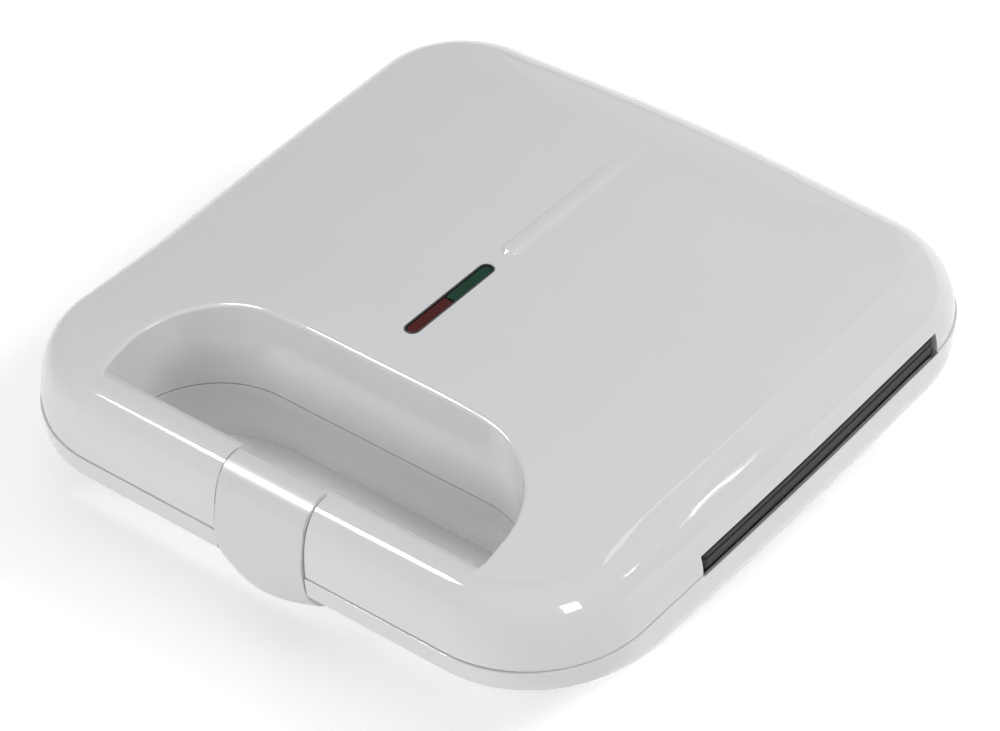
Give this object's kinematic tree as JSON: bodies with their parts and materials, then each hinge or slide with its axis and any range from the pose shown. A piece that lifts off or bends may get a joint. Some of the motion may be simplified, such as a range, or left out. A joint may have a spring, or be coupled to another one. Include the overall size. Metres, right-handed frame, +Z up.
{
  "type": "sandwich toaster",
  "caption": "Hinged sandwich toaster with patterned upper and lower plates, a carrying handle and a front latch clip.",
  "frame": {"origin": "centre of the bounding box in plan, on the table under the feet", "axes": "+Z up, -Y towards the handle and latch, +Y towards the hinge and cord inlet, X across"},
  "size_m": [0.231, 0.2412, 0.0748],
  "materials": {
    "housing_white": "glossy moulded",
    "deck_white": "satin moulded",
    "hinge_white": "glossy moulded",
    "latch_white": "satin moulded",
    "plate_coating": "dark non-stick coating on cast aluminium",
    "sheet_steel": "bright sheet",
    "heater_sheath": "heat-darkened sheath",
    "fastener_steel": "zinc plated",
    "bush_rubber": "matt",
    "foot_rubber": "matt",
    "clamp_plastic": "moulded",
    "terminal_ceramic": "glazed",
    "fuse_metal": "plain",
    "lead_sleeve": "sleeved",
    "thermostat_body": "moulded",
    "holder_black": "moulded",
    "lamp_glass": "clear",
    "lens_red": "tinted",
    "lens_green": "tinted"
  },
  "bodies": {
    "base": {"lower_housing": "housing_white", "base_front_deck": "deck_white", "base_rear_deck": "deck_white", "lower_plate": "plate_coating", "lower_heater": "heater_sheath", "lower_reflector": "sheet_steel", "lower_heater_clamps": "sheet_steel", "lower_plate_screws": "fastener_steel", "base_deck_screws": "fastener_steel", "base_hinge_left": "hinge_white", "base_hinge_right": "hinge_white", "base_hinge_screws": "fastener_steel", "hinge_pins": "fastener_steel", "cord_bush": "bush_rubber", "cord_clamp": "clamp_plastic", "cord_clamp_screws": "fastener_steel", "terminal_block": "terminal_ceramic", "thermal_fuse": "fuse_metal", "base_leads": "lead_sleeve", "foot_front_left": "foot_rubber", "foot_front_right": "foot_rubber", "foot_rear_left": "foot_rubber", "foot_rear_right": "foot_rubber", "foot_screws": "fastener_steel"},
    "lid": {"upper_housing": "housing_white", "lid_front_deck": "deck_white", "lid_rear_deck": "deck_white", "upper_plate": "plate_coating", "upper_heater": "heater_sheath", "upper_reflector": "sheet_steel", "upper_heater_clamps": "sheet_steel", "upper_plate_screws": "fastener_steel", "lid_deck_screws": "fastener_steel", "lid_hinge_left": "hinge_white", "lid_hinge_right": "hinge_white", "thermostat": "thermostat_body", "lamp_holder": "holder_black", "red_lamp": "lamp_glass", "green_lamp": "lamp_glass", "red_lens": "lens_red", "green_lens": "lens_green", "lid_leads": "lead_sleeve", "latch_saddle": "hinge_white", "latch_pin": "fastener_steel"},
    "latch": {"latch_clip": "latch_white"}
  },
  "joints": [
    {"name": "lid_hinge", "type": "hinge", "parent": "base", "child": "lid", "pos_m": [0, 0.1176, 0.034], "axis": [-1, 0, 0], "range_deg": [0, 105]},
    {"name": "latch_hinge", "type": "hinge", "parent": "lid", "child": "latch", "pos_m": [0, -0.1065, 0.0528], "axis": [-1, 0, 0], "range_deg": [0, 38]}
  ]
}
